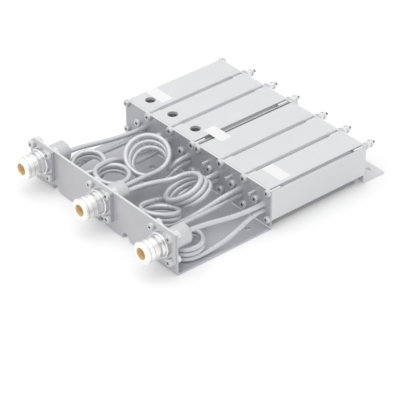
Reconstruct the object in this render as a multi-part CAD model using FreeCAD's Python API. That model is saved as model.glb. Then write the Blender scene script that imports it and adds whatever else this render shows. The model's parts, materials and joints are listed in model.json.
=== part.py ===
import FreeCAD, Part
import math
import os
from FreeCAD import Vector

os.makedirs("parts", exist_ok=True)

# Overall sizes, X across, Y from the front panel's face towards the back, Z up from the underside
SHEET = 1.5
BEND_OUTER = 2.0
PANEL_HEIGHT = 31.8
TRAY_DEPTH = 81.3
REAR_WALL_HEIGHT = 30.3
CONNECTOR_REACH = 19.5

# Clearances round screws, wires and other fixed round pieces
ROUND_CLEARANCE = 0.3
RUNNING_CLEARANCE = 0.05

# Cavity blocks, two extrusions of three cavities
BLOCK_WIDTH = 75.2
BLOCK_GAP = 1.4
BLOCK_BOTTOM = 5.2
BLOCK_TOP = 30.7
BLOCK_LENGTH = 83.4
SIDE_WALL = 3.3
MIDDLE_WALL = 2.2
TOP_WALL = 2.05
CAVITY_CORNER = 5.0
PORT_RADIUS = 1.7
PORT_INSET_Z = 2.4
LIP_WIDTH = 2.6
LIP_DROP = 1.6
BLOCK_CENTRE_X = (BLOCK_WIDTH + BLOCK_GAP) / 2
HALF_WIDTH = BLOCK_CENTRE_X + BLOCK_WIDTH / 2
CAVITY_WIDTH = (BLOCK_WIDTH - 2 * SIDE_WALL - 2 * MIDDLE_WALL) / 3
CAVITY_HEIGHT = BLOCK_TOP - BLOCK_BOTTOM - 2 * TOP_WALL
CAVITY_PITCH = CAVITY_WIDTH + MIDDLE_WALL
BLOCK_FRONT = TRAY_DEPTH
BLOCK_BACK = BLOCK_FRONT + BLOCK_LENGTH
CAVITY_Z = (BLOCK_BOTTOM + BLOCK_TOP) / 2
WALL_FACE = TRAY_DEPTH - SHEET

# Rear plate with its foot
REAR_PLATE_HEIGHT = 30.3
FOOT_REACH = 18.2
REAR_FACE = BLOCK_BACK + SHEET

# Holes for mounting, notches along the front bend
MOUNT_HOLE_RADIUS = 2.1
MOUNT_HOLE_INSET_X = 9.1
BASE_HOLE_INSET = 12.8
FOOT_HOLE_REACH = 11.4
INNER_HOLE_OFFSET = 7.0
INNER_HOLE_INSET = 14.3
MOUNT_HOLE_X = HALF_WIDTH - MOUNT_HOLE_INSET_X
BASE_HOLE_Y = TRAY_DEPTH - BASE_HOLE_INSET
FOOT_HOLE_Y = REAR_FACE + FOOT_HOLE_REACH
INNER_HOLE_X = BLOCK_CENTRE_X - INNER_HOLE_OFFSET
INNER_HOLE_Y = TRAY_DEPTH - INNER_HOLE_INSET
NOTCH_COUNT = 5
NOTCH_INSET = 23.5
NOTCH_PITCH = HALF_WIDTH / 3
NOTCH_FIRST_X = NOTCH_INSET - HALF_WIDTH
NOTCH_WIDTH = 7.0
NOTCH_HEIGHT = 5.5
NOTCH_DEPTH = 4.0

# Screw heads, plain, on the faces that they hold down
HEAD_RADIUS = 2.6
HEAD_HEIGHT = 2.2
FLANGE_HEAD_RADIUS = 2.45
SMALL_PIECE_SIDES = 12

# Resonators and tuning rods
RESONATOR_RADIUS = 4.0
RESONATOR_BORE = 2.6
RESONATOR_END_GAP = 13.4
RESONATOR_LENGTH = BLOCK_LENGTH - RESONATOR_END_GAP
ROD_RADIUS = 1.0
ROD_REACH_INSIDE = 26.2
ROD_REACH_OUTSIDE = 21.1
ROD_INNER_END = REAR_FACE - ROD_REACH_INSIDE
ROD_TIP_Y = REAR_FACE + ROD_REACH_OUTSIDE
PLUNGER_RADIUS = 2.2
PLUNGER_LENGTH = 12.0
ROD_SLOT_DEPTH = 1.4
ROD_SLOT_WIDTH = 0.5
BUSH_RADIUS = 2.2
BUSH_LENGTH = 17.0
BUSH_END_Y = REAR_FACE + BUSH_LENGTH
LOCK_NUT_RADIUS = 2.7
LOCK_NUT_THICKNESS = 1.4

# Trimmers under the three top holes of the left block
TRIMMER_HOLE_RADIUS = 3.75
TRIMMER_OFFSET = 0.7
TRIMMER_SPREAD = 0.8
TRIMMER_INSET = 10.5
TRIMMER_MIDDLE_X = -BLOCK_CENTRE_X - TRIMMER_OFFSET
TRIMMER_PITCH = CAVITY_PITCH + TRIMMER_SPREAD
TRIMMER_Y = BLOCK_FRONT + TRIMMER_INSET
TRIMMER_BODY_SIZE = 8.8
TRIMMER_BODY_HEIGHT = 5.0
TRIMMER_ROTOR_RADIUS = 2.5
TRIMMER_FLOOR = 1.0
TRIMMER_SLOT_WIDTH = 0.8
TRIMMER_SLOT_DEPTH = 1.0

# Cables, their ferrules in the wall, coupling loops and wire posts
CABLE_RADIUS = 1.75
ENTRY_OFFSET_UPPER = 7.5
ENTRY_OFFSET_LOWER = 7.8
ENTRY_Z_UPPER = 17.6
ENTRY_Z_LOWER = 13.0
FERRULE_RADIUS = 2.1
FERRULE_LENGTH = 2.5
ENTRY_STRAIGHT = 7.0
LOOP_STRAP_WIDTH = 2.4
LOOP_STRAP_THICKNESS = 0.6
LOOP_LENGTH = 28.0
POST_RADIUS = 0.85
POST_REACH = 3.5
POST_OFFSET_X = 0.5
POST_Z = 24.8

# Coaxial panel connectors
CONNECTOR_INSET = 11.9
CONNECTOR_X = HALF_WIDTH - CONNECTOR_INSET
CONNECTOR_Z = 20.2
FLANGE_SIZE = 23.2
FLANGE_THICKNESS = 2.9
FLANGE_CORNER = 0.8
FLANGE_SCREW_OFFSET = 9.13
COLLAR_RADIUS = 8.85
COLLAR_LENGTH = 1.5
SHOULDER_RADIUS = 8.3
SHOULDER_LENGTH = 3.6
NECK_RADIUS = 7.2
NECK_LENGTH = 2.0
THREAD_RADIUS = 7.94
THREAD_CHAMFER = 0.7
SOCKET_RADIUS = 4.2
SOCKET_DEPTH = 10.5
INSULATOR_LENGTH = 2.5
CONTACT_RADIUS = 1.55
CONTACT_BORE = 0.85
CONTACT_BORE_DEPTH = 4.0
CONTACT_STEP = 2.7
NUT_FLATS = 5.5
NUT_SIDES = 6
NUT_THICKNESS = 2.4
CAN_RADIUS = 7.4
CAN_BACK = 18.0
CAN_CHAMFER = 1.2
CAN_EXIT_STRAIGHT = 7.0
CAN_1_EXIT_X = 1.0
CAN_1_EXIT_Z = 18.6
CAN_2_EXIT_X = 3.0

# Blank paper labels on the blocks
LABEL_LENGTH = 18.7
LABEL_WIDTH = 9.5
LABEL_THICKNESS = 0.15
LABEL_LEFT_INSET = 11.8
LABEL_MIDDLE_X = 0.2
LABEL_RIGHT_INSET = 14.4
LABEL_LEFT_DEPTH = 19.2
LABEL_MIDDLE_DEPTH = 17.9
LABEL_RIGHT_DEPTH = 16.5
LABEL_CENTRES = [(LABEL_LEFT_INSET - HALF_WIDTH, BLOCK_FRONT + LABEL_LEFT_DEPTH),
                 (LABEL_MIDDLE_X, BLOCK_FRONT + LABEL_MIDDLE_DEPTH),
                 (HALF_WIDTH - LABEL_RIGHT_INSET, BLOCK_FRONT + LABEL_RIGHT_DEPTH)]

BOTH_SIDES = (-1, 1)
CAVITY_CENTRES = [side * BLOCK_CENTRE_X + step * CAVITY_PITCH for side in BOTH_SIDES for step in (-1, 0, 1)]
CONNECTOR_CENTRES = [-CONNECTOR_X, 0.0, CONNECTOR_X]
PORT_Z_TOP = BLOCK_TOP - PORT_INSET_Z
PORT_Z_BOTTOM = BLOCK_BOTTOM + PORT_INSET_Z
FERRULE_FACE = WALL_FACE - FERRULE_LENGTH
SHIFT_Y = (CONNECTOR_REACH - ROD_TIP_Y) / 2


def save(name, shape):
    moved = shape.copy()
    moved.translate(Vector(0, SHIFT_Y, 0))
    moved.exportStep("parts/" + name + ".step")


def box(x0, x1, y0, y1, z0, z1):
    return Part.makeBox(x1 - x0, y1 - y0, z1 - z0, Vector(x0, y0, z0))


def rod_y(x, y0, y1, z, radius):
    return Part.makeCylinder(radius, y1 - y0, Vector(x, y0, z), Vector(0, 1, 0))


def prism_y(x, y0, y1, z, radius, sides):
    """A small round piece as a prism of few sides, its flats at radius, one of them facing up."""
    corner_radius = radius / math.cos(math.pi / sides)
    points = []
    for k in range(sides):
        turn = 2 * math.pi * (k + 0.5) / sides
        points.append(Vector(x + corner_radius * math.sin(turn), y0, z + corner_radius * math.cos(turn)))
    return Part.Face(Part.makePolygon(points + points[:1])).extrude(Vector(0, y1 - y0, 0))


def rod_z(x, y, z0, z1, radius):
    return Part.makeCylinder(radius, z1 - z0, Vector(x, y, z0), Vector(0, 0, 1))


def port_places():
    """Centres of the screw ports, the corners of every cavity seen from the front."""
    places = []
    for side in BOTH_SIDES:
        for step in (-1.5, -0.5, 0.5, 1.5):
            x = side * BLOCK_CENTRE_X + step * CAVITY_PITCH
            places.append((x, PORT_Z_TOP))
            places.append((x, PORT_Z_BOTTOM))
    return places


def entry_places():
    places = []
    for centre in CAVITY_CENTRES:
        places.append((centre + ENTRY_OFFSET_UPPER, ENTRY_Z_UPPER))
        places.append((centre + ENTRY_OFFSET_LOWER, ENTRY_Z_LOWER))
    return places


def post_places():
    return [(centre + POST_OFFSET_X, POST_Z) for centre in CAVITY_CENTRES[3:]]


def flange_screw_places():
    places = []
    for centre in CONNECTOR_CENTRES:
        for dx in BOTH_SIDES:
            for dz in BOTH_SIDES:
                places.append((centre + dx * FLANGE_SCREW_OFFSET, CONNECTOR_Z + dz * FLANGE_SCREW_OFFSET))
    return places


def trimmer_places():
    return [TRIMMER_MIDDLE_X + step * TRIMMER_PITCH for step in (-1, 0, 1)]


def bent_sheet(outline, outer_bends, inner_bends):
    """A folded sheet across the whole width, its bends rounded, from an outline in Y and Z."""
    points = [Vector(-HALF_WIDTH, y, z) for y, z in outline]
    face = Part.Face(Part.makePolygon(points + points[:1]))
    solid = face.extrude(Vector(2 * HALF_WIDTH, 0, 0))
    for bends, radius in ((outer_bends, BEND_OUTER), (inner_bends, BEND_OUTER - SHEET)):
        chosen = []
        for edge in solid.Edges:
            centre = edge.CenterOfMass
            along_x = abs(edge.BoundBox.XLength - 2 * HALF_WIDTH) < 0.01
            at_bend = any(abs(centre.y - y) < 0.01 and abs(centre.z - z) < 0.01 for y, z in bends)
            if along_x and at_bend:
                chosen.append(edge)
        solid = solid.makeFillet(radius, chosen)
    return solid


def arch_notch(x):
    half = NOTCH_WIDTH / 2
    spring = NOTCH_HEIGHT - half
    slot = box(x - half, x + half, -1, NOTCH_DEPTH, -1, spring)
    return slot.fuse(rod_y(x, -1, SHEET + 1, spring, half))


def chassis_tray():
    outline = [(0, PANEL_HEIGHT), (0, 0), (TRAY_DEPTH, 0), (TRAY_DEPTH, REAR_WALL_HEIGHT),
               (WALL_FACE, REAR_WALL_HEIGHT), (WALL_FACE, SHEET), (SHEET, SHEET), (SHEET, PANEL_HEIGHT)]
    sheet = bent_sheet(outline, [(0, 0), (TRAY_DEPTH, 0)], [(SHEET, SHEET), (WALL_FACE, SHEET)])
    cuts = [arch_notch(NOTCH_FIRST_X + k * NOTCH_PITCH) for k in range(NOTCH_COUNT)]
    for side in BOTH_SIDES:
        cuts.append(rod_z(side * MOUNT_HOLE_X, BASE_HOLE_Y, -1, SHEET + 1, MOUNT_HOLE_RADIUS))
        cuts.append(rod_z(side * INNER_HOLE_X, INNER_HOLE_Y, -1, SHEET + 1, MOUNT_HOLE_RADIUS))
    return sheet.cut(Part.makeCompound(cuts))


def rear_plate():
    foot_end = REAR_FACE + FOOT_REACH
    outline = [(BLOCK_BACK, REAR_PLATE_HEIGHT), (BLOCK_BACK, 0), (foot_end, 0), (foot_end, SHEET),
               (REAR_FACE, SHEET), (REAR_FACE, REAR_PLATE_HEIGHT)]
    sheet = bent_sheet(outline, [(BLOCK_BACK, 0)], [(REAR_FACE, SHEET)])
    cuts = []
    for side in BOTH_SIDES:
        cuts.append(rod_z(side * MOUNT_HOLE_X, FOOT_HOLE_Y, -1, SHEET + 1, MOUNT_HOLE_RADIUS))
    for x in CAVITY_CENTRES:
        cuts.append(rod_y(x, BLOCK_BACK - 1, REAR_FACE + 1, CAVITY_Z, ROD_RADIUS + ROUND_CLEARANCE))
    return sheet.cut(Part.makeCompound(cuts))


def cavity_block(side):
    """One extrusion with three rounded square cavities, screw grooves and stepped outer corners."""
    centre = side * BLOCK_CENTRE_X
    half = BLOCK_WIDTH / 2
    block = box(centre - half, centre + half, BLOCK_FRONT, BLOCK_BACK, BLOCK_BOTTOM, BLOCK_TOP)
    cuts = []
    for step in (-1, 0, 1):
        x = centre + step * CAVITY_PITCH
        cavity = box(x - CAVITY_WIDTH / 2, x + CAVITY_WIDTH / 2, BLOCK_FRONT, BLOCK_BACK,
                     CAVITY_Z - CAVITY_HEIGHT / 2, CAVITY_Z + CAVITY_HEIGHT / 2)
        lengthwise = [edge for edge in cavity.Edges if abs(edge.BoundBox.YLength - BLOCK_LENGTH) < 0.01]
        cuts.append(cavity.makeFillet(CAVITY_CORNER, lengthwise))
    for x, z in port_places():
        if abs(x - centre) > half:
            continue
        cuts.append(rod_y(x, BLOCK_FRONT, BLOCK_BACK, z, PORT_RADIUS))
        upper = z > CAVITY_Z
        edge_z = BLOCK_TOP + 1 if upper else BLOCK_BOTTOM - 1
        at_corner = abs(x - centre) > CAVITY_PITCH
        if at_corner:
            outward = 1 if x > centre else -1
            inner_x = centre + outward * (half - LIP_WIDTH)
            outer_x = centre + outward * (half + 1)
            lip_z = BLOCK_TOP - LIP_DROP if upper else BLOCK_BOTTOM + LIP_DROP
            x0, x1 = sorted((inner_x, outer_x))
            z0, z1 = sorted((lip_z, edge_z))
        else:
            x0, x1 = x - PORT_RADIUS, x + PORT_RADIUS
            z0, z1 = sorted((z, edge_z))
        cuts.append(box(x0, x1, BLOCK_FRONT, BLOCK_BACK, z0, z1))
    if side < 0:
        for x in trimmer_places():
            cuts.append(rod_z(x, TRIMMER_Y, CAVITY_Z, BLOCK_TOP + 1, TRIMMER_HOLE_RADIUS))
    tool = cuts[0].multiFuse(cuts[1:])
    return block.cut(tool)


def screw_head(x, z, seat_y, way, radius=HEAD_RADIUS):
    """A head that stands on the face at seat_y and points along way, -1 to the front and +1 to the back."""
    y0, y1 = sorted((seat_y, seat_y + way * HEAD_HEIGHT))
    return prism_y(x, y0, y1, z, radius, SMALL_PIECE_SIDES)


def resonator(x):
    body = rod_y(x, BLOCK_FRONT, BLOCK_FRONT + RESONATOR_LENGTH, CAVITY_Z, RESONATOR_RADIUS)
    return body.cut(rod_y(x, BLOCK_FRONT - 1, BLOCK_BACK, CAVITY_Z, RESONATOR_BORE))


def tuning_rod(x):
    stem = rod_y(x, ROD_INNER_END, ROD_TIP_Y, CAVITY_Z, ROD_RADIUS)
    plunger = rod_y(x, ROD_INNER_END, ROD_INNER_END + PLUNGER_LENGTH, CAVITY_Z, PLUNGER_RADIUS)
    slot = box(x - ROD_SLOT_WIDTH / 2, x + ROD_SLOT_WIDTH / 2, ROD_TIP_Y - ROD_SLOT_DEPTH, ROD_TIP_Y + 1,
               CAVITY_Z - ROD_RADIUS - 1, CAVITY_Z + ROD_RADIUS + 1)
    return stem.fuse(plunger).cut(slot).removeSplitter()


def tuning_bush(x):
    barrel = rod_y(x, REAR_FACE, BUSH_END_Y, CAVITY_Z, BUSH_RADIUS)
    return barrel.cut(rod_y(x, REAR_FACE - 1, BUSH_END_Y + 1, CAVITY_Z, ROD_RADIUS + RUNNING_CLEARANCE))


def lock_nut(x):
    """A thin round nut round the rod, against the end of its bush."""
    back = BUSH_END_Y + LOCK_NUT_THICKNESS
    disc = prism_y(x, BUSH_END_Y, back, CAVITY_Z, LOCK_NUT_RADIUS, SMALL_PIECE_SIDES)
    hole = rod_y(x, BUSH_END_Y - 1, back + 1, CAVITY_Z, ROD_RADIUS + ROUND_CLEARANCE)
    return disc.cut(hole)


def trimmer_body(x):
    top = CAVITY_Z + CAVITY_HEIGHT / 2
    half = TRIMMER_BODY_SIZE / 2
    cup = box(x - half, x + half, TRIMMER_Y - half, TRIMMER_Y + half, top - TRIMMER_BODY_HEIGHT, top)
    well = rod_z(x, TRIMMER_Y, top - TRIMMER_BODY_HEIGHT + TRIMMER_FLOOR, top + 1,
                 TRIMMER_ROTOR_RADIUS + RUNNING_CLEARANCE)
    return cup.cut(well)


def trimmer_rotor(x):
    bottom = CAVITY_Z + CAVITY_HEIGHT / 2 - TRIMMER_BODY_HEIGHT + TRIMMER_FLOOR
    top = CAVITY_Z + CAVITY_HEIGHT / 2 - ROUND_CLEARANCE
    rotor = rod_z(x, TRIMMER_Y, bottom, top, TRIMMER_ROTOR_RADIUS)
    slot = box(x - TRIMMER_ROTOR_RADIUS, x + TRIMMER_ROTOR_RADIUS, TRIMMER_Y - TRIMMER_SLOT_WIDTH / 2,
               TRIMMER_Y + TRIMMER_SLOT_WIDTH / 2, top - TRIMMER_SLOT_DEPTH, top + 1)
    return rotor.cut(slot)


def ferrule(x, z):
    return prism_y(x, FERRULE_FACE, WALL_FACE, z, FERRULE_RADIUS, SMALL_PIECE_SIDES)


def coupling_loop(centre):
    """A flat strap bent into a hairpin, from the level of one ferrule to that of the other."""
    x = centre + (ENTRY_OFFSET_UPPER + ENTRY_OFFSET_LOWER) / 2
    half_width = LOOP_STRAP_WIDTH / 2
    half_thickness = LOOP_STRAP_THICKNESS / 2
    top = ENTRY_Z_UPPER + half_thickness
    bottom = ENTRY_Z_LOWER - half_thickness
    end = TRAY_DEPTH + LOOP_LENGTH
    outside = box(x - half_width, x + half_width, TRAY_DEPTH, end, bottom, top)
    inside = box(x - half_width - 1, x + half_width + 1, TRAY_DEPTH - 1, end - LOOP_STRAP_THICKNESS,
                 bottom + LOOP_STRAP_THICKNESS, top - LOOP_STRAP_THICKNESS)
    return outside.cut(inside)


def wire_post(x, z):
    return prism_y(x, WALL_FACE - POST_REACH, WALL_FACE, z, POST_RADIUS, NUT_SIDES)


def connector_body(x):
    """Panel socket: square flange, stepped barrel with a thread as a plain cylinder, open socket."""
    front = -CONNECTOR_REACH
    flange_face = -FLANGE_THICKNESS
    collar_face = flange_face - COLLAR_LENGTH
    shoulder_face = collar_face - SHOULDER_LENGTH
    neck_face = shoulder_face - NECK_LENGTH
    half = FLANGE_SIZE / 2
    flange = box(-half, half, flange_face, 0, -half, half)
    corners = [edge for edge in flange.Edges if abs(edge.BoundBox.YLength - FLANGE_THICKNESS) < 0.01]
    flange = flange.makeFillet(FLANGE_CORNER, corners)
    profile = [(0, front), (THREAD_RADIUS - THREAD_CHAMFER, front), (THREAD_RADIUS, front + THREAD_CHAMFER),
               (THREAD_RADIUS, neck_face), (NECK_RADIUS, neck_face), (NECK_RADIUS, shoulder_face),
               (SHOULDER_RADIUS, shoulder_face), (SHOULDER_RADIUS, collar_face), (COLLAR_RADIUS, collar_face),
               (COLLAR_RADIUS, flange_face), (0, flange_face), (0, front)]
    face = Part.Face(Part.makePolygon([Vector(r, y, 0) for r, y in profile]))
    barrel = face.revolve(Vector(0, 0, 0), Vector(0, 1, 0), 360)
    socket = rod_y(0, front - 1, front + SOCKET_DEPTH, 0, SOCKET_RADIUS)
    body = flange.fuse(barrel).cut(socket).removeSplitter()
    body.translate(Vector(x, 0, CONNECTOR_Z))
    return body


def connector_insulator(x):
    back = -CONNECTOR_REACH + SOCKET_DEPTH
    plug = rod_y(x, back - INSULATOR_LENGTH, back, CONNECTOR_Z, SOCKET_RADIUS - ROUND_CLEARANCE)
    hole = rod_y(x, back - INSULATOR_LENGTH - 1, back + 1, CONNECTOR_Z, CONTACT_RADIUS + ROUND_CLEARANCE)
    return plug.cut(hole)


def connector_contact(x):
    back = -CONNECTOR_REACH + SOCKET_DEPTH
    front = back - INSULATOR_LENGTH - CONTACT_STEP
    pin = rod_y(x, front, back, CONNECTOR_Z, CONTACT_RADIUS)
    return pin.cut(rod_y(x, front - 1, front + CONTACT_BORE_DEPTH, CONNECTOR_Z, CONTACT_BORE))


def hex_nut(x, z):
    """A nut behind the panel, closed where the end of its screw fills it."""
    return prism_y(x, SHEET, SHEET + NUT_THICKNESS, z, NUT_FLATS / 2, NUT_SIDES)


def rear_can(x):
    can = rod_y(x, SHEET, CAN_BACK, CONNECTOR_Z, CAN_RADIUS)
    rim = [edge for edge in can.Edges if edge.BoundBox.YMin > CAN_BACK - 0.01]
    return can.makeChamfer(CAN_CHAMFER, rim)


def label(centre_x, centre_y):
    half_x = LABEL_LENGTH / 2
    half_y = LABEL_WIDTH / 2
    return box(centre_x - half_x, centre_x + half_x, centre_y - half_y, centre_y + half_y,
               BLOCK_TOP, BLOCK_TOP + LABEL_THICKNESS)


# Cable routes: points by hand where a cable isn't coiled, a loop where it is
def wall_entry(number, upper):
    """The two last points of a cable that ends in the wall of cavity 1 to 6."""
    centre = CAVITY_CENTRES[number - 1]
    x = centre + (ENTRY_OFFSET_UPPER if upper else ENTRY_OFFSET_LOWER)
    z = ENTRY_Z_UPPER if upper else ENTRY_Z_LOWER
    return [(x, FERRULE_FACE - ENTRY_STRAIGHT, z), (x, FERRULE_FACE, z)]


def can_exit(x, z):
    """The two first points of a cable that leaves the back of a can."""
    return [(x, CAN_BACK, z), (x, CAN_BACK + CAN_EXIT_STRAIGHT, z)]


def bay(across, deep, high):
    """A place in hundredths of the half width, of the depth to the wall and of the panel's height."""
    return (across * HALF_WIDTH / 100, deep * WALL_FACE / 100, high * PANEL_HEIGHT / 100)


def coil(centre, spread, growth, turns, start, way, slope, drift):
    """Turns from the angle start. Spread is the first turn's radius and growth what each next turn adds,
    in hundredths of the half width. Slope leans the turns and drift moves each next one."""
    points = []
    steps_per_turn = 12
    for k in range(round(turns * steps_per_turn) + 1):
        turn = k / steps_per_turn
        angle = math.radians(start) + way * 2 * math.pi * turn
        radius = (spread + growth * turn) * HALF_WIDTH / 100
        dx = radius * math.cos(angle)
        dy = radius * math.sin(angle)
        points.append((centre[0] + drift[0] * turn + dx, centre[1] + drift[1] * turn + dy,
                       centre[2] + drift[2] * turn + slope[0] * dx + slope[1] * dy))
    return points


def route_can1_to_cavity1():
    lead = can_exit(-CONNECTOR_X + CAN_1_EXIT_X, CAN_1_EXIT_Z)
    return lead + [bay(-79.84, 50.13, 54.72), bay(-74.84, 70.18, 53.46)] + wall_entry(1, True)


def route_cavity1_to_cavity2():
    lead = wall_entry(1, False)[::-1]
    lead += [bay(-73.78, 72.68, 35.22), bay(-76.68, 56.39, 30.82), bay(-77.21, 41.35, 30.19)]
    turns = coil(bay(-61.4, 29.57, 26.42), 15.28, 0, 2.5, 180, 1, (-0.08, 0.22), bay(0.13, 0, 11.95))
    out = [bay(-45.98, 40.1, 58.49), bay(-46.38, 55.14, 47.17), bay(-45.32, 71.43, 46.54)]
    return lead + turns[1:] + out + wall_entry(2, True)


def route_cavity2_to_cavity3():
    lead = wall_entry(2, False)[::-1]
    lead += [bay(-39.53, 73.93, 38.36), bay(-40.45, 60.15, 38.99)]
    lead += [bay(-40.71, 51.38, 54.72), bay(-41.63, 41.35, 71.7)]
    turns = coil(bay(-27.27, 28.32, 71.07), 14.49, 0, 2.5, 180, 1, (-0.05, 0.0), bay(0.13, 0, -12.89))
    out = [bay(-12.38, 41.35, 30.82), bay(-11.73, 56.39, 22.01), bay(-10.01, 73.93, 20.75)]
    return lead + turns[1:] + out + wall_entry(3, False)


def route_can2_to_cavity3():
    lead = can_exit(-CAN_2_EXIT_X, CONNECTOR_Z)
    lead += [bay(-4.22, 47.62, 64.15)]
    drift = bay(-0.79, 0.75, -9.28)
    turns = coil(bay(-26.09, 66.17, 77.36), 21.61, -2.64, 3.0, -10, 1, (-0.309, 0.26), drift)
    out = [bay(-13.7, 71.43, 37.11), bay(-11.59, 80.2, 42.14)]
    return lead + turns[:-1] + out + wall_entry(3, True)


def route_can2_to_cavity4():
    lead = can_exit(CAN_2_EXIT_X, CONNECTOR_Z)
    lead += [bay(8.7, 45.11, 66.67)]
    turns = coil(bay(31.62, 58.4, 74.21), 16.86, 0, 3.0, 165, -1, (0.352, 0.362), bay(2.64, 2.88, -8.49))
    out = [bay(23.19, 77.69, 45.28)]
    return lead + turns + out + wall_entry(4, True)


def route_cavity5_to_cavity4():
    lead = wall_entry(5, True)[::-1]
    lead += [bay(58.76, 68.92, 49.69), bay(56.92, 48.87, 44.65)]
    turns = coil(bay(39.79, 28.82, 42.77), 17.13, 0, 2.5, 0, -1, (0.0, -0.04), bay(-0.13, 0, -11.95))
    out = [bay(22, 45.11, 11.64), bay(21.61, 58.9, 13.21), bay(25.56, 73.93, 25.79)]
    return lead + turns + out + wall_entry(4, False)


def route_cavity5_to_cavity6():
    lead = wall_entry(5, False)[::-1]
    lead += [bay(62.19, 68.92, 39.62), bay(62.85, 45.11, 42.45)]
    turns = coil(bay(78.79, 25.69, 41.19), 15.81, 0, 2.5, 180, 1, (0.0, 0.09), bay(0, 0, -11.95))
    out = [bay(94.73, 38.85, 11.95), bay(94.6, 56.39, 17.61), bay(93.15, 72.68, 27.67)]
    return lead + turns + out + wall_entry(6, False)


def route_can3_to_cavity6():
    lead = can_exit(CONNECTOR_X, CONNECTOR_Z) + [bay(86.17, 50.13, 58.49), bay(89.59, 70.18, 54.72)]
    return lead + wall_entry(6, True)


CABLE_ROUTES = {
    "cable_can1_cavity1": route_can1_to_cavity1,
    "cable_cavity1_cavity2": route_cavity1_to_cavity2,
    "cable_cavity2_cavity3": route_cavity2_to_cavity3,
    "cable_can2_cavity3": route_can2_to_cavity3,
    "cable_can2_cavity4": route_can2_to_cavity4,
    "cable_cavity5_cavity4": route_cavity5_to_cavity4,
    "cable_cavity5_cavity6": route_cavity5_to_cavity6,
    "cable_can3_cavity6": route_can3_to_cavity6,
}
CORNER_SHARE = 0.45
WIDE_BEND_DIAMETERS = 5


def pipe(edges, start, direction, radius):
    section = Part.Wire(Part.Circle(start, direction, radius).toShape())
    return Part.Wire(edges).makePipeShell([section], True, False)


def cable_edges(points):
    """Straight runs joined by tangent arcs, and the tightest arc's radius."""
    corners = [Vector(*point) for point in points]
    edges = []
    last = corners[0]
    tightest = math.inf
    for before, corner, after in zip(corners, corners[1:], corners[2:]):
        run_in = corner - before
        run_out = after - corner
        trim = CORNER_SHARE * min(run_in.Length, run_out.Length)
        half_turn = run_in.getAngle(run_out) / 2
        run_in.normalize()
        run_out.normalize()
        radius = trim / math.tan(half_turn)
        tightest = min(tightest, radius)
        arc_start = corner - run_in * trim
        arc_end = corner + run_out * trim
        inward = run_out - run_in
        inward.normalize()
        arc_middle = corner + inward * (radius / math.cos(half_turn) - radius)
        edges.append(Part.LineSegment(last, arc_start).toShape())
        edges.append(Part.Arc(arc_start, arc_middle, arc_end).toShape())
        last = arc_end
    edges.append(Part.LineSegment(last, corners[-1]).toShape())
    return edges, tightest


def cable(name):
    points = CABLE_ROUTES[name]()
    edges, tightest = cable_edges(points)
    direction = Vector(*points[1]) - Vector(*points[0])
    solid = pipe(edges, Vector(*points[0]), direction, CABLE_RADIUS)
    length = sum(edge.Length for edge in edges)
    expected = math.pi * CABLE_RADIUS ** 2 * length
    print(name, "length", round(length, 1), "volume ratio", round(solid.Volume / expected, 4),
          "valid", solid.isValid(), "tightest bend", round(tightest, 1))
    if tightest < WIDE_BEND_DIAMETERS * 2 * CABLE_RADIUS:
        print(name, "bends tighter than five diameters")
    return solid


save("chassis_tray", chassis_tray())
save("rear_plate", rear_plate())
save("cavity_block_left", cavity_block(-1))
save("cavity_block_right", cavity_block(1))
save("front_wall_screws", Part.makeCompound([screw_head(x, z, WALL_FACE, -1) for x, z in port_places()]))
save("resonator_screws", Part.makeCompound([screw_head(x, CAVITY_Z, WALL_FACE, -1) for x in CAVITY_CENTRES]))
save("rear_plate_screws", Part.makeCompound([screw_head(x, z, REAR_FACE, 1) for x, z in port_places()]))

for number, centre_x in enumerate(CAVITY_CENTRES, start=1):
    save("tuning_rod_" + str(number), tuning_rod(centre_x))
save("resonators", Part.makeCompound([resonator(x) for x in CAVITY_CENTRES]))
save("tuning_bushes", Part.makeCompound([tuning_bush(x) for x in CAVITY_CENTRES]))
save("lock_nuts", Part.makeCompound([lock_nut(x) for x in CAVITY_CENTRES]))
for number, trimmer_x in enumerate(trimmer_places(), start=1):
    save("trimmer_body_" + str(number), trimmer_body(trimmer_x))
    save("trimmer_rotor_" + str(number), trimmer_rotor(trimmer_x))

save("cable_ferrules", Part.makeCompound([ferrule(x, z) for x, z in entry_places()]))
save("coupling_loops", Part.makeCompound([coupling_loop(x) for x in CAVITY_CENTRES]))
save("wire_posts", Part.makeCompound([wire_post(x, z) for x, z in post_places()]))

save("connector_bodies", Part.makeCompound([connector_body(x) for x in CONNECTOR_CENTRES]))
save("rear_cans", Part.makeCompound([rear_can(x) for x in CONNECTOR_CENTRES]))
save("connector_insulators", Part.makeCompound([connector_insulator(x) for x in CONNECTOR_CENTRES]))
save("connector_contacts", Part.makeCompound([connector_contact(x) for x in CONNECTOR_CENTRES]))
flange_heads = [screw_head(x, z, -FLANGE_THICKNESS, -1, FLANGE_HEAD_RADIUS) for x, z in flange_screw_places()]
save("connector_screws", Part.makeCompound(flange_heads))
save("connector_nuts", Part.makeCompound([hex_nut(x, z) for x, z in flange_screw_places()]))

for number, (label_x, label_y) in enumerate(LABEL_CENTRES, start=1):
    save("label_" + str(number), label(label_x, label_y))

for cable_name in CABLE_ROUTES:
    save(cable_name, cable(cable_name))
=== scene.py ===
import bpy
import json
import math
from mathutils import Matrix, Vector


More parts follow.
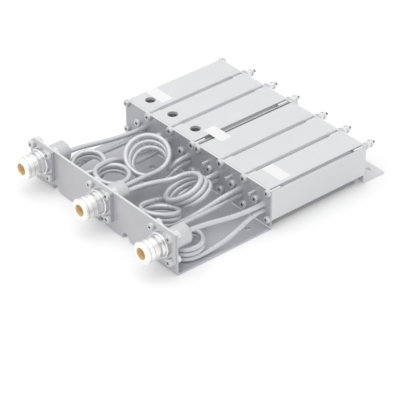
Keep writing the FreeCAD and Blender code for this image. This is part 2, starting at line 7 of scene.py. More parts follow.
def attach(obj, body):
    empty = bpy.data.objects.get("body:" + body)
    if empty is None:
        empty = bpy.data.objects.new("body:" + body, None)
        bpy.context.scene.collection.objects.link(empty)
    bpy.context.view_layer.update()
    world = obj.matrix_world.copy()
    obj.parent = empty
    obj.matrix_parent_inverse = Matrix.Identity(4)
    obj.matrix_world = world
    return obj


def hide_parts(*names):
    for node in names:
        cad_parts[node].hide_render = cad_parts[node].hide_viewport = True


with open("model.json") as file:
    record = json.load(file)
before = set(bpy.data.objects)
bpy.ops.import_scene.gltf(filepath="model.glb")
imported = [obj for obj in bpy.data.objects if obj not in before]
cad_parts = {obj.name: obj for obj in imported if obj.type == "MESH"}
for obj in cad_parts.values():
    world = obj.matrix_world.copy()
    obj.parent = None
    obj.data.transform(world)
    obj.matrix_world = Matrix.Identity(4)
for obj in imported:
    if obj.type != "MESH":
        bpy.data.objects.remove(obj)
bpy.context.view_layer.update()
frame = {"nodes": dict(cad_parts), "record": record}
NODES = frame["nodes"]
ROOT = "duplexer"

# Route points are written in millimetres from the front panel's face, as the part's source has them
CONNECTOR_REACH = 19.5
ROD_TIP_Y = 187.3
SHIFT_Y = (CONNECTOR_REACH - ROD_TIP_Y) / 2
MM = 0.001


def at(point):
    """A point in the source's millimetres as a vector in metres in the frame."""
    return Vector((point[0] * MM, (point[1] + SHIFT_Y) * MM, point[2] * MM))


# Camera at the photograph's angle
CAMERA_PLACE = (960.81, -721.73, 836.53)
CAMERA_FORWARD = Vector((-0.63318, 0.53179, -0.56239))
CAMERA_RIGHT = Vector((0.64490, 0.76426, -0.00341))
CAMERA_LENS = 198.46
CAMERA_SHIFT = (-0.00523, -0.00265)


def make_camera():
    """The camera as fitted to the photograph: its own shift and lens, and square to the picture."""
    data = bpy.data.cameras.new("camera")
    data.lens = CAMERA_LENS
    data.sensor_width = 36
    data.shift_x = CAMERA_SHIFT[0]
    data.shift_y = CAMERA_SHIFT[1]
    data.clip_start = 0.05
    data.clip_end = 20
    camera = bpy.data.objects.new("camera", data)
    bpy.context.scene.collection.objects.link(camera)
    back = -CAMERA_FORWARD.normalized()
    right = CAMERA_RIGHT.normalized()
    up = back.cross(right).normalized()
    right = up.cross(back)
    turned = Matrix((right, up, back)).transposed().to_4x4()
    camera.matrix_world = Matrix.Translation(at(CAMERA_PLACE)) @ turned
    bpy.context.scene.camera = camera


# Cables: the sizes and points of the source's routes, three coils moved to follow the photograph
HALF_WIDTH = 75.9
PANEL_HEIGHT = 31.8
CONNECTOR_X = 64.0
CONNECTOR_Z = 20.2
CABLE_DIAMETER = 3.5
WALL_FACE = 79.8
FERRULE_FACE = WALL_FACE - 2.5
ENTRY_STRAIGHT = 7.0
ENTRY_OFFSET_UPPER = 7.5
ENTRY_OFFSET_LOWER = 7.8
ENTRY_Z_UPPER = 17.6
ENTRY_Z_LOWER = 13.0
CAN_BACK = 18.0
CAN_EXIT_STRAIGHT = 7.0
CAN_1_EXIT_X = 1.0
CAN_1_EXIT_Z = 18.6
CAN_2_EXIT_X = 3.0
BLOCK_CENTRE = 38.3
CAVITY_PITCH = 23.6
CAVITY_CENTRES = [side * BLOCK_CENTRE + step * CAVITY_PITCH for side in (-1, 1) for step in (-1, 0, 1)]


def wall_entry(number, upper):
    """The two last points of a cable that ends in the wall of cavity 1 to 6."""
    centre = CAVITY_CENTRES[number - 1]
    x = centre + (ENTRY_OFFSET_UPPER if upper else ENTRY_OFFSET_LOWER)
    z = ENTRY_Z_UPPER if upper else ENTRY_Z_LOWER
    return [(x, FERRULE_FACE - ENTRY_STRAIGHT, z), (x, FERRULE_FACE, z)]


def can_exit(x, z):
    """The two first points of a cable that leaves the back of a can."""
    return [(x, CAN_BACK, z), (x, CAN_BACK + CAN_EXIT_STRAIGHT, z)]


def bay(across, deep, high):
    """A place in hundredths of the half width, of the depth to the wall and of the panel's height."""
    return (across * HALF_WIDTH / 100, deep * WALL_FACE / 100, high * PANEL_HEIGHT / 100)


def coil(centre, spread, growth, turns, start, way, slope, drift):
    """Turns from the angle start. Spread is the first turn's radius and growth what each next turn adds,
    in hundredths of the half width. Slope leans the turns and drift moves each next one."""
    points = []
    steps_per_turn = 12
    for k in range(round(turns * steps_per_turn) + 1):
        turn = k / steps_per_turn
        angle = math.radians(start) + way * 2 * math.pi * turn
        radius = (spread + growth * turn) * HALF_WIDTH / 100
        dx = radius * math.cos(angle)
        dy = radius * math.sin(angle)
        points.append((centre[0] + drift[0] * turn + dx, centre[1] + drift[1] * turn + dy,
                       centre[2] + drift[2] * turn + slope[0] * dx + slope[1] * dy))
    return points


def route_can1_to_cavity1():
    lead = can_exit(-CONNECTOR_X + CAN_1_EXIT_X, CAN_1_EXIT_Z)
    return lead + [bay(-79.84, 50.13, 54.72), bay(-74.84, 70.18, 53.46)] + wall_entry(1, True)


def route_cavity1_to_cavity2():
    lead = wall_entry(1, False)[::-1]
    lead += [bay(-73.78, 72.68, 35.22), bay(-76.68, 56.39, 30.82), bay(-77.21, 41.35, 30.19)]
    turns = coil(bay(-61.4, 29.57, 26.42), 15.28, 0, 2.5, 180, 1, (-0.08, 0.22), bay(0.13, 0, 11.95))
    out = [bay(-45.98, 40.1, 58.49), bay(-46.38, 55.14, 47.17), bay(-45.32, 71.43, 46.54)]
    return lead + turns[1:] + out + wall_entry(2, True)


def route_cavity2_to_cavity3():
    lead = wall_entry(2, False)[::-1]
    lead += [bay(-39.53, 73.93, 38.36), bay(-40.45, 60.15, 38.99)]
    lead += [bay(-40.71, 51.38, 54.72), bay(-41.63, 41.35, 71.7)]
    turns = coil(bay(-26.2, 29.2, 71.07), 15.6, 0, 2.5, 180, 1, (-0.08, 0.04), bay(0.13, 0, -12.89))
    out = [bay(-12.38, 41.35, 30.82), bay(-11.73, 56.39, 22.01), bay(-10.01, 73.93, 20.75)]
    return lead + turns[1:] + out + wall_entry(3, False)


def route_can2_to_cavity3():
    lead = can_exit(-CAN_2_EXIT_X, CONNECTOR_Z)
    lead += [bay(-4.22, 47.62, 64.15)]
    drift = bay(0.7, 0.9, -10.4)
    turns = coil(bay(-26.09, 66.17, 77.36), 21.3, -1.9, 3.0, -10, 1, (-0.309, 0.26), drift)
    out = [bay(-13.7, 71.43, 37.11), bay(-11.59, 80.2, 42.14)]
    return lead + turns[:-1] + out + wall_entry(3, True)


def route_can2_to_cavity4():
    lead = can_exit(CAN_2_EXIT_X, CONNECTOR_Z)
    lead += [bay(8.7, 45.11, 66.67)]
    turns = coil(bay(31.62, 58.4, 74.21), 16.86, 0, 3.0, 165, -1, (0.352, 0.362), bay(2.64, 2.88, -8.49))
    out = [bay(23.19, 77.69, 45.28)]
    return lead + turns + out + wall_entry(4, True)


def route_cavity5_to_cavity4():
    lead = wall_entry(5, True)[::-1]
    lead += [bay(58.76, 68.92, 47.0), bay(57.4, 48.87, 35.0)]
    turns = coil(bay(41.5, 28.6, 32.7), 17.13, 0, 2.5, 0, -1, (0.22, -0.25), bay(-0.13, 0, 12.4))
    out = [bay(20.4, 45.11, 41.0), bay(21.0, 58.9, 19.0), bay(25.56, 73.93, 25.79)]
    return lead + turns + out + wall_entry(4, False)


def route_cavity5_to_cavity6():
    lead = wall_entry(5, False)[::-1]
    lead += [bay(62.19, 68.92, 39.62), bay(62.85, 45.11, 42.45)]
    turns = coil(bay(78.79, 25.69, 41.19), 15.81, 0, 2.5, 180, 1, (0.0, 0.09), bay(0, 0, -11.95))
    out = [bay(94.73, 38.85, 11.95), bay(94.6, 56.39, 17.61), bay(93.15, 72.68, 27.67)]
    return lead + turns + out + wall_entry(6, False)


def route_can3_to_cavity6():
    lead = can_exit(CONNECTOR_X, CONNECTOR_Z) + [bay(86.17, 50.13, 58.49), bay(89.59, 70.18, 54.72)]
    return lead + wall_entry(6, True)


# Each cable: its route, its length in millimetres and whether it is wound
CABLES = {
    "cable_can1_cavity1": (route_can1_to_cavity1, 60, False),
    "cable_cavity1_cavity2": (route_cavity1_to_cavity2, 288, True),
    "cable_cavity2_cavity3": (route_cavity2_to_cavity3, 282, True),
    "cable_can2_cavity3": (route_can2_to_cavity3, 313, True),
    "cable_can2_cavity4": (route_can2_to_cavity4, 304, True),
    "cable_cavity5_cavity4": (route_cavity5_to_cavity4, 309, True),
    "cable_cavity5_cavity6": (route_cavity5_to_cavity6, 298, True),
    "cable_can3_cavity6": (route_can3_to_cavity6, 60, False),
}


def make_cable(name, material):
    """The cable as one smooth spline along its route."""
    route, length, wound = CABLES[name]
    points = [at(point) for point in route()]
    curve = bpy.data.curves.new(name + "_braid", "CURVE")
    curve.dimensions = "3D"
    spline = curve.splines.new("NURBS")
    spline.points.add(len(points) - 1)
    for control, point in zip(spline.points, points):
        control.co = (point.x, point.y, point.z, 1)
    spline.order_u = 3
    spline.use_endpoint_u = True
    spline.resolution_u = 10
    curve.bevel_depth = CABLE_DIAMETER * MM / 2
    curve.bevel_resolution = 6
    curve.use_fill_caps = True
    curve.materials.append(material)
    cable = bpy.data.objects.new(name + "_braid", curve)
    bpy.context.scene.collection.objects.link(cable)
    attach(cable, ROOT)
    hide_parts(name)


# Materials
class Surface:
    """A procedural material on one Principled shader, reading object coordinates."""

    def __init__(self, name, colour, metallic, roughness):
        self.material = bpy.data.materials.new(name)
        self.material.use_nodes = True
        self.tree = self.material.node_tree
        self.shader = self.tree.nodes["Principled BSDF"]
        self.shader.inputs["Base Color"].default_value = (*colour, 1)
        self.shader.inputs["Metallic"].default_value = metallic
        self.shader.inputs["Roughness"].default_value = roughness
        self.colour = colour
        self.roughness = roughness
        self.coordinates = self.tree.nodes.new("ShaderNodeTexCoord").outputs["Object"]

    def link(self, source, target):
        self.tree.links.new(source, target)

    def scaled(self, scale):
        mapping = self.tree.nodes.new("ShaderNodeMapping")
        mapping.inputs["Scale"].default_value = scale
        self.link(self.coordinates, mapping.inputs["Vector"])
        return mapping.outputs["Vector"]

    def noise(self, scale, detail=3.0):
        node = self.tree.nodes.new("ShaderNodeTexNoise")
        node.inputs["Scale"].default_value = 1.0
        node.inputs["Detail"].default_value = detail
        node.inputs["Roughness"].default_value = 0.55
        self.link(self.scaled(scale), node.inputs["Vector"])
        return node.outputs["Fac"]

    def spread(self, value, low, high):
        """A noise's middle range, stretched from low to high."""
        node = self.tree.nodes.new("ShaderNodeMapRange")
        node.inputs["From Min"].default_value = 0.3
        node.inputs["From Max"].default_value = 0.7
        node.inputs["To Min"].default_value = low
        node.inputs["To Max"].default_value = high
        self.link(value, node.inputs["Value"])
        return node.outputs["Result"]

    def maths(self, operation, *values):
        """One step of arithmetic, on values of the shading and on plain numbers."""
        node = self.tree.nodes.new("ShaderNodeMath")
        node.operation = operation
        for socket, value in zip(node.inputs, values):
            if isinstance(value, (int, float)):
                socket.default_value = value
            else:
                self.link(value, socket)
        return node.outputs["Value"]

    def blend(self, share, under, over):
        """A mix of two colours, each a plain one or one of the shading."""
        node = self.tree.nodes.new("ShaderNodeMix")
        node.data_type = "RGBA"
        self.link(share, node.inputs["Factor"])
        for socket, colour in ((node.inputs["A"], under), (node.inputs["B"], over)):
            if isinstance(colour, tuple):
                socket.default_value = (*colour, 1)
            else:
                self.link(colour, socket)
        return node.outputs["Result"]

    def place(self):
        """The three coordinates of the point that is shaded."""
        split = self.tree.nodes.new("ShaderNodeSeparateXYZ")
        self.link(self.coordinates, split.inputs["Vector"])
        return split.outputs["X"], split.outputs["Y"], split.outputs["Z"]

    def near(self, value, middle, reach):
        """One where the value is less than the reach from the middle, else none."""
        return self.maths("LESS_THAN", self.maths("ABSOLUTE", self.maths("SUBTRACT", value, middle)), reach)

    def paint(self, colour):
        self.link(colour, self.shader.inputs["Base Color"])

    def toned(self, scale, amount):
        """The surface's own colour, a little darker and lighter from place to place."""
        darker = tuple(c * (1 - amount) for c in self.colour)
        lighter = tuple(min(1, c * (1 + amount)) for c in self.colour)
        return self.blend(self.spread(self.noise((scale, scale, scale)), 0, 1), darker, lighter)

    def uneven_gloss(self, amount, scale=120, detail=5.0):
        """The surface's own roughness, a little less and more from place to place."""
        spots = self.noise((scale, scale, scale), detail)
        low = max(0.02, self.roughness - amount)
        self.link(self.spread(spots, low, self.roughness + amount), self.shader.inputs["Roughness"])

    def bump(self, value, height):
        node = self.tree.nodes.new("ShaderNodeBump")
        node.inputs["Strength"].default_value = 1.0
        node.inputs["Distance"].default_value = height
        self.link(value, node.inputs["Height"])
        self.link(node.outputs["Normal"], self.shader.inputs["Normal"])


def metal(name, colour, roughness, metallic=1.0, grain=(900, 900, 900), tone=0.04, gloss=0.05, height=0.000005):
    """Metal with a fine grain, slow changes of tone and uneven gloss."""
    surface = Surface(name, colour, metallic, roughness)
    surface.paint(surface.toned(40, tone))
    surface.uneven_gloss(gloss)
    surface.bump(surface.noise(grain, 4), height)
    return surface.material


def plain(name, colour, roughness, scale=300, tone=0.03, height=0.00002):
    """Plastic, ceramic or paper with a fine grain."""
    surface = Surface(name, colour, 0.0, roughness)
    surface.paint(surface.toned(scale, tone))
    surface.uneven_gloss(0.08, scale / 3, 3.0)
    surface.bump(surface.noise((scale * 4, scale * 4, scale * 4)), height)
    return surface.material


# Rings along a socket's barrel, each from its place in millimetres from the panel towards the front; the darker
# rings are painted shade at the barrel's grooves, at its neck and next to the flange
WHITE_PLATE = (0.97, 0.968, 0.96)
WARM_PLATE = (0.93, 0.905, 0.87)
SOFT_PLATE = (0.92, 0.92, 0.92)
# Painted shade at the neck, in the grooves and next to the flange, darker than the white plating
NECK_SHADE = (0.72, 0.72, 0.73)
SHADED_PLATE = (0.66, 0.66, 0.67)
RING_GROOVE_SHADE = (0.58, 0.58, 0.59)
BARREL_RINGS = [(-19.5, WHITE_PLATE), (-17.3, RING_GROOVE_SHADE), (-16.8, WHITE_PLATE), (-13.7, RING_GROOVE_SHADE),
                (-13.2, WARM_PLATE), (-10.5, WHITE_PLATE), (-10.0, NECK_SHADE), (-8.0, SOFT_PLATE),
                (-5.9, RING_GROOVE_SHADE), (-5.5, WHITE_PLATE), (-4.3, SHADED_PLATE)]
FLANGE_GREY = (0.56, 0.56, 0.585)
MOUTH_GOLD = (1.0, 0.80, 0.49)
FLANGE_FACE = 2.9
FLANGE_FRONT = FLANGE_FACE + 0.05
MOUTH_RADIUS = 4.35
THREAD_BACK = 10.0
THREAD_PITCH = 1.058
THREAD_INSIDE = 5.0


def plated_socket(name):
    """White nickel on the barrel, with rings for its thread and darker rings of painted shade, grey on the
    flange and gold in the mouth.
    """
    surface = Surface(name, WHITE_PLATE, 0.8, 0.22)
    maths = surface.maths
    x, y, z = surface.place()
    across = maths("WRAP", x, CONNECTOR_X * MM / 2, -CONNECTOR_X * MM / 2)
    high = maths("SUBTRACT", z, CONNECTOR_Z * MM)
    out = maths("SQRT", maths("ADD", maths("POWER", across, 2), maths("POWER", high, 2)))
    along = maths("SUBTRACT", y, SHIFT_Y * MM)
    in_mouth = maths("MULTIPLY", maths("LESS_THAN", out, MOUTH_RADIUS * MM), maths("LESS_THAN", along, -3 * MM))
    on_flange = maths("GREATER_THAN", along, -FLANGE_FRONT * MM)
    rings = surface.tree.nodes.new("ShaderNodeValToRGB")
    rings.color_ramp.interpolation = "CONSTANT"
    stops = rings.color_ramp.elements
    for k, (place, colour) in enumerate(BARREL_RINGS):
        stop = stops[k] if k < 2 else stops.new(1.0)
        stop.position = (place + CONNECTOR_REACH) / CONNECTOR_REACH
        stop.color = (*colour, 1)
    from_tip = maths("ADD", along, CONNECTOR_REACH * MM)
    surface.link(maths("DIVIDE", from_tip, CONNECTOR_REACH * MM), rings.inputs["Fac"])
    flanged = surface.blend(on_flange, rings.outputs["Color"], FLANGE_GREY)
    surface.paint(surface.blend(in_mouth, flanged, MOUTH_GOLD))
    surface.link(maths("MULTIPLY_ADD", in_mouth, -0.7, 0.8), surface.shader.inputs["Metallic"])
    surface.uneven_gloss(0.05)
    wave = maths("SINE", maths("MULTIPLY", along, 2 * math.pi / (THREAD_PITCH * MM)))
    on_thread = maths("LESS_THAN", along, -THREAD_BACK * MM)
    outside = maths("GREATER_THAN", out, THREAD_INSIDE * MM)
    surface.bump(maths("MULTIPLY", wave, maths("MULTIPLY", on_thread, outside)), 0.00004)
    return surface.material


# The bent sheets, with painted highlights on their top edges and along the foot of the inner wall, and painted
# shade on the inner wall's face: how much lower the inner wall ends than the panel, and where its foot is bent
EDGE_HIGHLIGHT = (0.86, 0.86, 0.87)
WALL_SHADE = (0.50, 0.51, 0.53)
WALL_DROP = 1.5
EDGE_DEPTH = 0.12
FOOT_BEND_Z = 2.05
FOOT_BEND_REACH = 0.5


def sheet_with_painted_light(name, colour):
    """Sheet with painted highlights on its upper edges and along the foot of the inner wall, and painted shade
    on the inner wall's face.
    """
    surface = Surface(name, colour, 0.35, 0.36)
    maths = surface.maths
    _, y, z = surface.place()
    on_wall = maths("GREATER_THAN", y, (WALL_FACE - 1 + SHIFT_Y) * MM)
    height = maths("ADD", z, maths("MULTIPLY", on_wall, WALL_DROP * MM))
    # Painted highlight on the top edges of the sheets
    edge_highlight = maths("GREATER_THAN", height, (PANEL_HEIGHT - EDGE_DEPTH) * MM)
    wall_face = surface.near(y, (WALL_FACE + SHIFT_Y) * MM, 1.0 * MM)
    # Painted highlight along the bent foot of the inner wall
    foot_highlight = maths("MULTIPLY", wall_face, surface.near(z, FOOT_BEND_Z * MM, FOOT_BEND_REACH * MM))
    # Painted shade: the inner wall's face is painted darker than the rest of the sheet
    shaded = surface.blend(wall_face, surface.toned(40, 0.03), WALL_SHADE)
    surface.paint(surface.blend(maths("MAXIMUM", edge_highlight, foot_highlight), shaded, EDGE_HIGHLIGHT))
    surface.uneven_gloss(0.03)
    surface.bump(surface.noise((120, 1800, 1800), 4), 0.000003)
    return surface.material


# The screw grooves along the top of the blocks, and the gap between the blocks: a painted highlight on the
# grooves' sides, painted shade deep in the grooves and in the gap
GROOVE_SIDE_HIGHLIGHT = (0.95, 0.95, 0.97)
GROOVE_DEEP_SHADE = (0.56, 0.56, 0.58)
GROOVE_HALF_WIDTH = 1.8
GROOVE_SHADE_TOP = 28.5
GROOVE_SHADE_BOTTOM = 27.9
GAP_HALF_WIDTH = 3.4
GAP_TOP = 29.3


def grooved_metal(name):
    """Drawn metal, with a painted highlight on the sides of the screw grooves along the top, and painted shade
    deep in the grooves and in the gap between the blocks.
    """
    surface = Surface(name, (0.785, 0.79, 0.81), 0.3, 0.42)
    maths = surface.maths
    x, _, z = surface.place()
    from_groove = x
    for step in (0, BLOCK_CENTRE * MM, CAVITY_PITCH / 2 * MM):
        from_groove = maths("ABSOLUTE", maths("SUBTRACT", from_groove, step))
    in_groove = maths("LESS_THAN", from_groove, GROOVE_HALF_WIDTH * MM)
    # Painted shade, deeper towards the grooves' floor
    deep = surface.tree.nodes.new("ShaderNodeMapRange")
    deep.inputs["From Min"].default_value = GROOVE_SHADE_TOP * MM
    deep.inputs["From Max"].default_value = GROOVE_SHADE_BOTTOM * MM
    surface.link(z, deep.inputs["Value"])
    # Painted shade in the gap between the blocks, below their top
    in_gap = maths("LESS_THAN", maths("ABSOLUTE", x), GAP_HALF_WIDTH * MM)
    below_top = maths("LESS_THAN", z, GAP_TOP * MM)
    gap_shade = maths("MULTIPLY", maths("MULTIPLY", in_gap, below_top), 0.7)
    shade_share = maths("MAXIMUM", deep.outputs["Result"], gap_shade)
    # Painted highlight on the grooves' sides, blended to painted shade
    shade = surface.blend(shade_share, GROOVE_SIDE_HIGHLIGHT, GROOVE_DEEP_SHADE)
    surface.paint(surface.blend(maths("MAXIMUM", in_groove, gap_shade), surface.toned(40, 0.015), shade))
    surface.uneven_gloss(0.04)
    surface.bump(surface.noise((2200, 60, 2200), 4), 0.000004)
    return surface.material


# Painted shade inside the screws' cross recesses
RECESS_SHADE = (0.02, 0.02, 0.022)


def recessed_steel(name):
    """Bright steel, with painted shade, nearly black, where the piece's own recess attribute says so."""
    surface = Surface(name, (0.69, 0.695, 0.71), 0.4, 0.34)
    recess = surface.tree.nodes.new("ShaderNodeAttribute")
    recess.attribute_name = "recess"
    surface.paint(surface.blend(recess.outputs["Fac"], surface.toned(40, 0.04), RECESS_SHADE))
    surface.uneven_gloss(0.05)
    surface.bump(surface.noise((900, 900, 900), 4), 0.000005)
    return surface.material


def make_materials():
    """The finishes by name, most of them named as the record's material slots."""
    return {
        "tray_sheet": sheet_with_painted_light("tray_sheet", (0.60, 0.60, 0.625)),
        "rear_sheet": sheet_with_painted_light("rear_sheet", (0.78, 0.78, 0.80)),
        "shank_steel": metal("shank_steel", (0.78, 0.78, 0.79), 0.34, 0.5),
        "block_metal": grooved_metal("block_metal"),
        "screw_steel": recessed_steel("screw_steel"),
        "bush_metal": metal("bush_metal", (0.86, 0.86, 0.87), 0.30, 0.7, (200, 3000, 200)),
        "nut_zinc": metal("nut_zinc", (0.84, 0.855, 0.88), 0.28, 0.5),
        "ferrule_tin": metal("ferrule_tin", (0.70, 0.70, 0.715), 0.34, 0.5),
        "loop_copper": metal("loop_copper", (0.80, 0.50, 0.36), 0.30),
        "insulator_plastic": plain("insulator_plastic", (0.86, 0.80, 0.70), 0.45),
        "contact_gold": metal("contact_gold", (0.90, 0.66, 0.32), 0.22),
        "resonator_copper": metal("resonator_copper", (0.78, 0.48, 0.34), 0.35),
        "rod_metal": metal("rod_metal", (0.22, 0.22, 0.23), 0.38, 0.6),
        # Painted shade: the trimmers' ceramic and rotor are near black, for the dark holes they sit in
        "trimmer_ceramic": plain("trimmer_ceramic", (0.10, 0.10, 0.105), 0.5),
        "trimmer_brass": metal("trimmer_brass", (0.17, 0.165, 0.16), 0.42, 0.5),
        "connector_nickel": plated_socket("connector_nickel"),
        "can_metal": metal("can_metal", (0.68, 0.685, 0.705), 0.38, 0.4),
        "label_paper": plain("label_paper", (0.995, 0.995, 0.995), 0.6, 800, 0.01),
        "cable_braid": metal("cable_braid", (0.69, 0.695, 0.715), 0.30, 0.35, (2600, 2600, 2600), 0.03, 0.04,
                             0.000004),
    }


def dress_nodes(materials):
    """Each node gets the finish of its slot, and the rear plate its own paler sheet."""
    for part in frame["record"]["subparts"]:
        slots = NODES[part["node"]].data.materials
        slots.clear()
        slots.append(materials[part["material_slot"]])
    NODES["rear_plate"].data.materials[0] = materials["rear_sheet"]


# Pieces that stand in for the plain ones of the frame. A head's arms and recess are shares of its size, and
# places and sizes are in millimetres as in the source
SCREW_SIDES = 24
SHANK_SIDES = 14
WIRE_SIDES = 12
OUTER_HEAD_EDGE = 76.3
HEAD_ROUNDING = 0.3
ARM_LENGTH = 1.15
ARM_WIDTH = 0.3
ARM_DEPTH = 0.95
ARM_TAPER = 0.6
RECESS_REACH = 0.62
RECESS_TOP = 0.93
HEAD_SPIN = 0.7
SMOOTH_ANGLE = 35
PORT_Z_UPPER = 28.3
PORT_Z_LOWER = 7.6
RESONATOR_Z = 17.95
FLANGE_SCREW_OFFSET = 9.13
REAR_PLATE_BACK = 166.2
HEAD_HEIGHT = 2.2
WALL_HEAD_RADIUS = 3.0
FLANGE_HEAD_RADIUS = 2.75
SHANK_RADIUS = 1.5
SHANK_LENGTH = 8.4
SHANK_PITCH = 1.05
SHANK_NECK = 0.8
SHANK_FRONT = 81.3
SHANK_BACK = 164.7
HOOK_RADIUS = 0.95
HOOK_LENGTH = 3.6
HOOK_Z = 22.9
HOOK_OFFSET = 2.0


def choose_faces(piece, wanted):
    """Select the faces of the piece that the test picks, and nothing else."""
    mesh = piece.data
    for group in (mesh.vertices, mesh.edges, mesh.polygons):
        group.foreach_set("select", [False] * len(group))
    for face in mesh.polygons:
        face.select = wanted(face)


def edit(piece, *steps):
    """Run the steps on the piece's selected faces in edit mode."""
    bpy.context.view_layer.objects.active = piece
    bpy.ops.object.mode_set(mode="EDIT")
    bpy.ops.mesh.select_mode(type="FACE")
    for step in steps:
        step()
    bpy.ops.object.mode_set(mode="OBJECT")


def cut_with(piece, cutter):
    """Take the cutter out of the piece, and the cutter away."""
    modifier = piece.modifiers.new("recess", "BOOLEAN")
    modifier.operation = "DIFFERENCE"
    modifier.solver = "EXACT"
    modifier.object = cutter
    bpy.context.view_layer.objects.active = piece
    bpy.ops.object.modifier_apply(modifier=modifier.name)
    bpy.data.objects.remove(cutter)


def one_screw_head(radius, height):
    """A domed head with a cross recess, its seat at the origin and its top along Z."""
    bpy.ops.object.select_all(action="DESELECT")
    bpy.ops.mesh.primitive_cylinder_add(vertices=SCREW_SIDES, radius=radius, depth=height,
                                        location=(0, 0, height / 2))
    head = bpy.context.object
    bpy.ops.object.transform_apply(location=True)
    choose_faces(head, lambda face: face.normal.z > 0.9)
    edit(head, lambda: bpy.ops.mesh.bevel(offset=radius * HEAD_ROUNDING, segments=4, profile=0.55))
    arms = []
    for turn in (0, math.pi / 2):
        bpy.ops.object.select_all(action="DESELECT")
        bpy.ops.mesh.primitive_cube_add(size=1, location=(0, 0, height), rotation=(0, 0, turn + 0.5))
        arm = bpy.context.object
        arm.scale = (radius * ARM_LENGTH, radius * ARM_WIDTH, height * ARM_DEPTH)
        bpy.ops.object.transform_apply(location=True, rotation=True, scale=True)
        choose_faces(arm, lambda face: face.normal.z < -0.9)
        edit(arm, resized(ARM_TAPER))
        arms.append(arm)
    for arm in arms:
        cut_with(head, arm)
    # The faces inside the cross recess are marked for painted shade
    recess_shade = head.data.attributes.new("recess", "FLOAT", "FACE")
    for face in head.data.polygons:
        inside = face.center.xy.length < radius * RECESS_REACH and face.center.z < height * RECESS_TOP
        recess_shade.data[face.index].value = 1.0 if inside and face.normal.z > -0.5 else 0.0
    return head


def drawn_out(x, y, z):
    """The step that draws out what is selected by this much."""
    return lambda: bpy.ops.mesh.extrude_region_move(TRANSFORM_OT_translate={"value": (x, y, z)})


def resized(across):
    """The step that widens or narrows what is selected, its height kept."""
    return lambda: bpy.ops.transform.resize(value=(across, across, 1))


def threaded_shank(radius, length, pitch):
    """The end of a screw, its thread as rings along Z from the origin."""
    bpy.ops.object.select_all(action="DESELECT")
    bpy.ops.mesh.primitive_cylinder_add(vertices=SHANK_SIDES, radius=radius, depth=pitch,
                                        location=(0, 0, pitch / 2))
    shank = bpy.context.object
    bpy.ops.object.transform_apply(location=True)
    choose_faces(shank, lambda face: face.normal.z > 0.9)
    steps = []
    for _ in range(round(length / pitch) - 1):
        for across in (SHANK_NECK, 1 / SHANK_NECK):
            steps += [drawn_out(0, 0, pitch / 2), resized(across)]
    edit(shank, *steps)
    return shank


def bent_wire(radius, length):
    """A wire end that stands out along Z from the origin and turns down at its tip."""
    bpy.ops.object.select_all(action="DESELECT")
    bpy.ops.mesh.primitive_cylinder_add(vertices=WIRE_SIDES, radius=radius, depth=length,
                                        location=(0, 0, length / 2))
    wire = bpy.context.object
    bpy.ops.object.transform_apply(location=True)
    choose_faces(wire, lambda face: face.normal.z > 0.9)
    edit(wire, drawn_out(0, 0, radius * 1.3), drawn_out(0, -radius * 0.2, radius * 0.3), resized(0.7))
    choose_faces(wire, lambda face: face.center.z > length and face.normal.y < -0.6
                 and abs(face.normal.z) < 0.1)
    edit(wire, drawn_out(0, -radius * 1.2, 0))
    return wire


def join_copies(pattern, name, placements, material):
    """Copies of the pattern at the placements, joined as one piece, and the pattern taken away."""
    copies = []
    for placement in placements:
        mesh = pattern.data.copy()
        mesh.transform(placement)
        copy = bpy.data.objects.new(name, mesh)
        bpy.context.scene.collection.objects.link(copy)
        copies.append(copy)
    bpy.data.objects.remove(pattern)
    bpy.ops.object.select_all(action="DESELECT")
    for copy in copies:
        copy.select_set(True)
    bpy.context.view_layer.objects.active = copies[0]
    bpy.ops.object.join()
    joined = bpy.context.object
    joined.name = name
    joined.data.materials.clear()
    joined.data.materials.append(material)
    bpy.ops.object.shade_smooth_by_angle(angle=math.radians(SMOOTH_ANGLE))
    return joined


def facing(point, way, spin=0.0):
    """Place a piece modelled along Z on a wall, looking to the front for -1 and to the back for 1."""
    turn = Matrix.Rotation(math.radians(-90 * way), 4, "X")
    return Matrix.Translation(at(point)) @ turn @ Matrix.Rotation(spin, 4, "Z")


def port_places():
    """Where the port screws sit, across and up, between and beside the cavities of each block."""
    across = [side * BLOCK_CENTRE + step * CAVITY_PITCH for side in (-1, 1) for step in (-1.5, -0.5, 0.5, 1.5)]
    return [(x, z) for x in across for z in (PORT_Z_UPPER, PORT_Z_LOWER)]


def fit_screws(node, centres, y, way, radius, material):
    """One head for each of the node's screws, each with its cross turned another way."""
    placements = []
    for k, (x, z) in enumerate(centres):
        narrower = min(1, (OUTER_HEAD_EDGE - abs(x)) / radius)
        size = Matrix.Diagonal((narrower, narrower, 1, 1))
        placements.append(facing((x, y, z), way, HEAD_SPIN * k) @ size)
    screws = join_copies(one_screw_head(radius * MM, HEAD_HEIGHT * MM), node + "_domed", placements, material)
    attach(screws, ROOT)
    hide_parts(node)


def fit_all_screws(material):
    """Heads on the inner wall, on the rear plate and on the sockets' flanges."""
    corners = [(dx, dz) for dx in (-FLANGE_SCREW_OFFSET, FLANGE_SCREW_OFFSET)
               for dz in (-FLANGE_SCREW_OFFSET, FLANGE_SCREW_OFFSET)]
    flange_centres = [(centre + dx, CONNECTOR_Z + dz) for centre in (-CONNECTOR_X, 0, CONNECTOR_X)
                      for dx, dz in corners]
    resonator_centres = [(x, RESONATOR_Z) for x in CAVITY_CENTRES]
    fit_screws("front_wall_screws", port_places(), WALL_FACE, -1, WALL_HEAD_RADIUS, material)
    fit_screws("resonator_screws", resonator_centres, WALL_FACE, -1, WALL_HEAD_RADIUS, material)
    fit_screws("rear_plate_screws", port_places(), REAR_PLATE_BACK, 1, WALL_HEAD_RADIUS, material)
    fit_screws("connector_screws", flange_centres, -FLANGE_FACE, -1, FLANGE_HEAD_RADIUS, material)


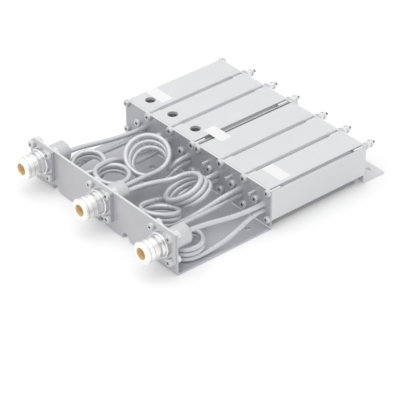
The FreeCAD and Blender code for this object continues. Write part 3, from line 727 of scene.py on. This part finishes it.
def fit_groove_shanks(material):
    """The ends of the port screws, which show in the open grooves at the front and at the back."""
    ends = []
    for x, z in port_places():
        if z > CONNECTOR_Z:
            ends += [facing((x, SHANK_FRONT, z), 1), facing((x, SHANK_BACK, z), -1)]
    shank = threaded_shank(SHANK_RADIUS * MM, SHANK_LENGTH * MM, SHANK_PITCH * MM)
    shanks = join_copies(shank, "groove_shanks", ends, material)
    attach(shanks, ROOT)


def fit_wire_hooks(material):
    """The bent wire ends beside the cavities of the right block."""
    places = [facing((x - HOOK_OFFSET, WALL_FACE, HOOK_Z), -1) for x in CAVITY_CENTRES[3:]]
    hooks = join_copies(bent_wire(HOOK_RADIUS * MM, HOOK_LENGTH * MM), "wire_hooks", places, material)
    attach(hooks, ROOT)
    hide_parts("wire_posts")


# Floor, light and background
def seen_directly(tree):
    """One for rays from the camera, off metal or through glass, and none for light on the object."""
    path = tree.nodes.new("ShaderNodeLightPath")
    total = path.outputs["Is Camera Ray"]
    for ray in ("Is Glossy Ray", "Is Transmission Ray"):
        larger = tree.nodes.new("ShaderNodeMath")
        larger.operation = "MAXIMUM"
        tree.links.new(total, larger.inputs[0])
        tree.links.new(path.outputs[ray], larger.inputs[1])
        total = larger.outputs["Value"]
    return total


FLOOR_SIZE = 6
FLOOR_DROP = 0.0002
LIFT = 0.16
LIFT_FREE_X = 72
LIFT_FREE_Y = 78
SOFT_LIGHT = 0.66


def beyond_object(surface):
    """One where the floor is clear of the object, none below it, where the lift would show through holes."""
    x, y, _ = surface.place()
    beside = surface.maths("GREATER_THAN", surface.maths("ABSOLUTE", x), LIFT_FREE_X * MM)
    beyond = surface.maths("GREATER_THAN", surface.maths("ABSOLUTE", y), LIFT_FREE_Y * MM)
    return surface.maths("MAXIMUM", beside, beyond)


def make_stage():
    """A pale floor with a small lift to white, and a white world with a softer light than it shows."""
    bpy.ops.mesh.primitive_plane_add(size=FLOOR_SIZE, location=(0, 0, -FLOOR_DROP))
    floor = bpy.context.object
    floor.name = "floor"
    surface = Surface("floor_paper", (0.96, 0.96, 0.96), 0.0, 0.9)
    surface.paint(surface.toned(4, 0.005))
    surface.shader.inputs["Emission Color"].default_value = (1, 1, 1, 1)
    lifted = surface.maths("MULTIPLY", seen_directly(surface.tree), beyond_object(surface))
    surface.link(surface.maths("MULTIPLY", lifted, LIFT), surface.shader.inputs["Emission Strength"])
    floor.data.materials.append(surface.material)
    world = bpy.data.worlds.new("studio")
    bpy.context.scene.world = world
    world.use_nodes = True
    tree = world.node_tree
    tree.nodes.clear()
    output = tree.nodes.new("ShaderNodeOutputWorld")
    mix = tree.nodes.new("ShaderNodeMixShader")
    for socket, strength in ((mix.inputs[1], SOFT_LIGHT), (mix.inputs[2], 1.0)):
        background = tree.nodes.new("ShaderNodeBackground")
        background.inputs["Color"].default_value = (1, 1, 1, 1)
        background.inputs["Strength"].default_value = strength
        tree.links.new(background.outputs["Background"], socket)
    tree.links.new(seen_directly(tree), mix.inputs["Fac"])
    tree.links.new(mix.outputs["Shader"], output.inputs["Surface"])


def area_light(name, place, target, size, power):
    """A soft rectangular lamp that looks from its place at the target."""
    data = bpy.data.lights.new(name, "AREA")
    data.shape = "RECTANGLE"
    data.size = size[0]
    data.size_y = size[1]
    data.energy = power
    light = bpy.data.objects.new(name, data)
    bpy.context.scene.collection.objects.link(light)
    place = Vector(place)
    light.location = place
    light.rotation_euler = (Vector(target) - place).to_track_quat("-Z", "Y").to_euler()


bpy.context.scene.view_settings.view_transform = "Standard"
make_camera()
materials = make_materials()
dress_nodes(materials)
for cable_name in CABLES:
    make_cable(cable_name, materials["cable_braid"])
fit_all_screws(materials["screw_steel"])
fit_groove_shanks(materials["shank_steel"])
fit_wire_hooks(materials["bush_metal"])
make_stage()
area_light("key", (-0.1, -0.3, 1.2), (0, 0, 0), (1.4, 1.4), 6)
